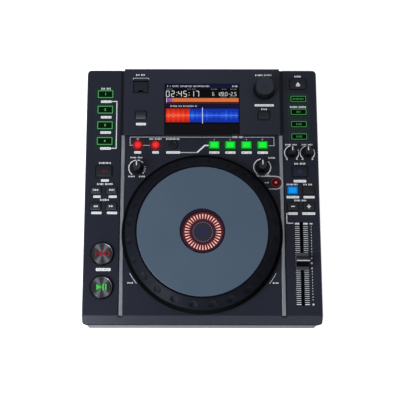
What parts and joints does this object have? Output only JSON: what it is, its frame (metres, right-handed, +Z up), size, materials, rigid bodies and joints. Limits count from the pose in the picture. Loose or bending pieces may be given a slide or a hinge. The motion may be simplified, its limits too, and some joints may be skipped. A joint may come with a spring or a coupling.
{
  "type": "tabletop dj cd player",
  "caption": "Tabletop DJ player console: wedge case, large jog wheel with centre display, raised screen section, lit keys, knobs, pitch fader and rear sockets.",
  "frame": {"origin": "on the table, under the middle of the console's bounding box", "axes": "+Z up, +Y towards the back with the sockets, +X to the player's right with the pitch fader"},
  "size_m": [0.324, 0.358, 0.1102],
  "materials": {
    "deck": "fine moulded texture, near black with a blue cast",
    "base": "fine spark-eroded texture, black",
    "front_panel": "satin light grey",
    "rear_panel": "black powder coat",
    "rails": "satin anodised, brushed along its length",
    "screen_glass": "gloss black window",
    "display": "plain black",
    "boards": "green solder mask",
    "steel": "ground steel",
    "centre_display": "gloss black with lit marks",
    "inlet": "black moulding",
    "sockets": "plated metal and black plastic",
    "feet": "soft black rubber",
    "jog_ring": "black, soft-touch",
    "jog_plate": "satin grey-blue disc",
    "knobs": "soft black rubber",
    "fader_cap": "satin black",
    "key_green": "smoked cap, lit green edge",
    "key_dark": "matt black cap",
    "big_key": "dark spun metal face",
    "key_lit_red": "translucent, lit red",
    "key_lit_green": "translucent, lit green",
    "key_slip": "dark red translucent",
    "key_lit_blue": "translucent, lit blue"
  },
  "bodies": {
    "case": {"top_case": "deck", "screen_hood": "deck", "bottom_case": "base", "front_panel": "front_panel", "rear_panel": "rear_panel", "trim_rails": "rails", "screen_glass": "screen_glass", "display_module": "display", "circuit_boards": "boards", "power_supply": "boards", "jog_base": "base", "jog_bearings": "steel", "jog_sensor": "display", "centre_display": "centre_display", "mains_inlet": "inlet", "sockets": "sockets", "feet": "feet", "pitch_fader_body": "rear_panel"},
    "jog_wheel": {"jog_ring": "jog_ring", "jog_plate": "jog_plate"},
    "browse_shaft": {"browse_shaft": "steel"},
    "browse_knob": {"browse_knob": "knobs"},
    "fader_cap": {"fader_cap": "fader_cap"},
    "usb_cover": {"usb_cover": "deck"},
    "power_switch": {"power_switch": "inlet"},
    "jog_adjust_knob": {"jog_adjust_knob": "knobs"},
    "filter_knob": {"filter_knob": "knobs"},
    "start_time_knob": {"start_time_knob": "knobs"},
    "stop_time_knob": {"stop_time_knob": "knobs"},
    "hot_cue_1": {"hot_cue_1": "key_green"},
    "hot_cue_2": {"hot_cue_2": "key_green"},
    "hot_cue_3": {"hot_cue_3": "key_green"},
    "hot_cue_4": {"hot_cue_4": "key_green"},
    "reverse_button": {"reverse_button": "key_dark"},
    "track_back_button": {"track_back_button": "key_dark"},
    "track_next_button": {"track_next_button": "key_dark"},
    "search_back_button": {"search_back_button": "key_dark"},
    "search_forward_button": {"search_forward_button": "key_dark"},
    "cue_button": {"cue_button": "big_key"},
    "play_button": {"play_button": "big_key"},
    "shift_button": {"shift_button": "key_dark"},
    "back_button": {"back_button": "key_dark"},
    "loop_in_button": {"loop_in_button": "key_lit_red"},
    "loop_out_button": {"loop_out_button": "key_lit_red"},
    "reloop_button": {"reloop_button": "key_dark"},
    "auto_loop_1": {"auto_loop_1": "key_lit_green"},
    "auto_loop_2": {"auto_loop_2": "key_lit_green"},
    "auto_loop_3": {"auto_loop_3": "key_lit_green"},
    "auto_loop_4": {"auto_loop_4": "key_lit_green"},
    "slip_button": {"slip_button": "key_slip"},
    "eject_button": {"eject_button": "key_dark"},
    "settings_button": {"settings_button": "key_green"},
    "source_usb_button": {"source_usb_button": "key_green"},
    "source_midi_button": {"source_midi_button": "key_green"},
    "source_link_button": {"source_link_button": "key_green"},
    "vinyl_button": {"vinyl_button": "key_dark"},
    "key_lock_button": {"key_lock_button": "key_lit_blue"},
    "tempo_range_button": {"tempo_range_button": "key_dark"},
    "pitch_minus_button": {"pitch_minus_button": "key_dark"},
    "pitch_plus_button": {"pitch_plus_button": "key_dark"}
  },
  "joints": [
    {"name": "jog_turn", "type": "hinge", "parent": "case", "child": "jog_wheel", "pos_m": [0, -0.05784, 0.08782], "axis": [0, -0.0523, 0.9986], "continuous": true},
    {"name": "browse_push", "type": "slide", "parent": "case", "child": "browse_shaft", "axis": [0, 0.0523, -0.9986], "range_m": [0, 0.0008], "stiffness_N_per_m": 900},
    {"name": "browse_turn", "type": "hinge", "parent": "browse_shaft", "child": "browse_knob", "pos_m": [0.0875, 0.14697, 0.09855], "axis": [0, -0.0523, 0.9986], "continuous": true},
    {"name": "pitch_slide", "type": "slide", "parent": "case", "child": "fader_cap", "axis": [0, 0.9986, 0.0523], "range_m": [-0.0524, 0.0476]},
    {"name": "usb_cover_hinge", "type": "hinge", "parent": "case", "child": "usb_cover", "pos_m": [-0.086, 0.15821, 0.09253], "axis": [-1, 0, 0], "range_deg": [0, 95]},
    {"name": "power_rocker", "type": "hinge", "parent": "case", "child": "power_switch", "pos_m": [0.084, 0.16378, 0.036], "axis": [-1, 0, 0], "range_deg": [0, 20]},
    {"name": "jog_adjust_turn", "type": "hinge", "parent": "case", "child": "jog_adjust_knob", "pos_m": [-0.0904, 0.03479, 0.08766], "axis": [0, -0.0523, 0.9986], "range_deg": [-150, 150]},
    {"name": "filter_turn", "type": "hinge", "parent": "case", "child": "filter_knob", "pos_m": [0.0835, 0.03629, 0.08774], "axis": [0, -0.0523, 0.9986], "range_deg": [-150, 150]},
    {"name": "start_time_turn", "type": "hinge", "parent": "case", "child": "start_time_knob", "pos_m": [0.1249, 0.05686, 0.08882], "axis": [0, -0.0523, 0.9986], "range_deg": [-150, 150]},
    {"name": "stop_time_turn", "type": "hinge", "parent": "case", "child": "stop_time_knob", "pos_m": [0.1467, 0.05686, 0.08882], "axis": [0, -0.0523, 0.9986], "range_deg": [-150, 150]},
    {"name": "hot_cue_1_press", "type": "slide", "parent": "case", "child": "hot_cue_1", "axis": [0, 0.0523, -0.9986], "range_m": [0, 0.001], "stiffness_N_per_m": 500},
    {"name": "hot_cue_2_press", "type": "slide", "parent": "case", "child": "hot_cue_2", "axis": [0, 0.0523, -0.9986], "range_m": [0, 0.001], "stiffness_N_per_m": 500},
    {"name": "hot_cue_3_press", "type": "slide", "parent": "case", "child": "hot_cue_3", "axis": [0, 0.0523, -0.9986], "range_m": [0, 0.001], "stiffness_N_per_m": 500},
    {"name": "hot_cue_4_press", "type": "slide", "parent": "case", "child": "hot_cue_4", "axis": [0, 0.0523, -0.9986], "range_m": [0, 0.001], "stiffness_N_per_m": 500},
    {"name": "reverse_press", "type": "slide", "parent": "case", "child": "reverse_button", "axis": [0, 0.0523, -0.9986], "range_m": [0, 0.001], "stiffness_N_per_m": 500},
    {"name": "track_back_press", "type": "slide", "parent": "case", "child": "track_back_button", "axis": [0, 0.0523, -0.9986], "range_m": [0, 0.001], "stiffness_N_per_m": 500},
    {"name": "track_next_press", "type": "slide", "parent": "case", "child": "track_next_button", "axis": [0, 0.0523, -0.9986], "range_m": [0, 0.001], "stiffness_N_per_m": 500},
    {"name": "search_back_press", "type": "slide", "parent": "case", "child": "search_back_button", "axis": [0, 0.0523, -0.9986], "range_m": [0, 0.001], "stiffness_N_per_m": 500},
    {"name": "search_forward_press", "type": "slide", "parent": "case", "child": "search_forward_button", "axis": [0, 0.0523, -0.9986], "range_m": [0, 0.001], "stiffness_N_per_m": 500},
    {"name": "cue_press", "type": "slide", "parent": "case", "child": "cue_button", "axis": [0, 0.0523, -0.9986], "range_m": [0, 0.001], "stiffness_N_per_m": 500},
    {"name": "play_press", "type": "slide", "parent": "case", "child": "play_button", "axis": [0, 0.0523, -0.9986], "range_m": [0, 0.001], "stiffness_N_per_m": 500},
    {"name": "shift_press", "type": "slide", "parent": "case", "child": "shift_button", "axis": [0, 0.0523, -0.9986], "range_m": [0, 0.001], "stiffness_N_per_m": 500},
    {"name": "back_press", "type": "slide", "parent": "case", "child": "back_button", "axis": [0, 0.0523, -0.9986], "range_m": [0, 0.001], "stiffness_N_per_m": 500},
    {"name": "loop_in_press", "type": "slide", "parent": "case", "child": "loop_in_button", "axis": [0, 0.0523, -0.9986], "range_m": [0, 0.001], "stiffness_N_per_m": 500},
    {"name": "loop_out_press", "type": "slide", "parent": "case", "child": "loop_out_button", "axis": [0, 0.0523, -0.9986], "range_m": [0, 0.001], "stiffness_N_per_m": 500},
    {"name": "reloop_press", "type": "slide", "parent": "case", "child": "reloop_button", "axis": [0, 0.0523, -0.9986], "range_m": [0, 0.001], "stiffness_N_per_m": 500},
    {"name": "auto_loop_1_press", "type": "slide", "parent": "case", "child": "auto_loop_1", "axis": [0, 0.0523, -0.9986], "range_m": [0, 0.001], "stiffness_N_per_m": 500},
    {"name": "auto_loop_2_press", "type": "slide", "parent": "case", "child": "auto_loop_2", "axis": [0, 0.0523, -0.9986], "range_m": [0, 0.001], "stiffness_N_per_m": 500},
    {"name": "auto_loop_3_press", "type": "slide", "parent": "case", "child": "auto_loop_3", "axis": [0, 0.0523, -0.9986], "range_m": [0, 0.001], "stiffness_N_per_m": 500},
    {"name": "auto_loop_4_press", "type": "slide", "parent": "case", "child": "auto_loop_4", "axis": [0, 0.0523, -0.9986], "range_m": [0, 0.001], "stiffness_N_per_m": 500},
    {"name": "slip_press", "type": "slide", "parent": "case", "child": "slip_button", "axis": [0, 0.0523, -0.9986], "range_m": [0, 0.001], "stiffness_N_per_m": 500},
    {"name": "eject_press", "type": "slide", "parent": "case", "child": "eject_button", "axis": [0, 0.0523, -0.9986], "range_m": [0, 0.001], "stiffness_N_per_m": 500},
    {"name": "settings_press", "type": "slide", "parent": "case", "child": "settings_button", "axis": [0, 0.0523, -0.9986], "range_m": [0, 0.001], "stiffness_N_per_m": 500},
    {"name": "source_usb_press", "type": "slide", "parent": "case", "child": "source_usb_button", "axis": [0, 0.0523, -0.9986], "range_m": [0, 0.001], "stiffness_N_per_m": 500},
    {"name": "source_midi_press", "type": "slide", "parent": "case", "child": "source_midi_button", "axis": [0, 0.0523, -0.9986], "range_m": [0, 0.001], "stiffness_N_per_m": 500},
    {"name": "source_link_press", "type": "slide", "parent": "case", "child": "source_link_button", "axis": [0, 0.0523, -0.9986], "range_m": [0, 0.001], "stiffness_N_per_m": 500},
    {"name": "vinyl_press", "type": "slide", "parent": "case", "child": "vinyl_button", "axis": [0, 0.0523, -0.9986], "range_m": [0, 0.001], "stiffness_N_per_m": 500},
    {"name": "key_lock_press", "type": "slide", "parent": "case", "child": "key_lock_button", "axis": [0, 0.0523, -0.9986], "range_m": [0, 0.001], "stiffness_N_per_m": 500},
    {"name": "tempo_range_press", "type": "slide", "parent": "case", "child": "tempo_range_button", "axis": [0, 0.0523, -0.9986], "range_m": [0, 0.001], "stiffness_N_per_m": 500},
    {"name": "pitch_minus_press", "type": "slide", "parent": "case", "child": "pitch_minus_button", "axis": [0, 0.0523, -0.9986], "range_m": [0, 0.001], "stiffness_N_per_m": 500},
    {"name": "pitch_plus_press", "type": "slide", "parent": "case", "child": "pitch_plus_button", "axis": [0, 0.0523, -0.9986], "range_m": [0, 0.001], "stiffness_N_per_m": 500}
  ]
}
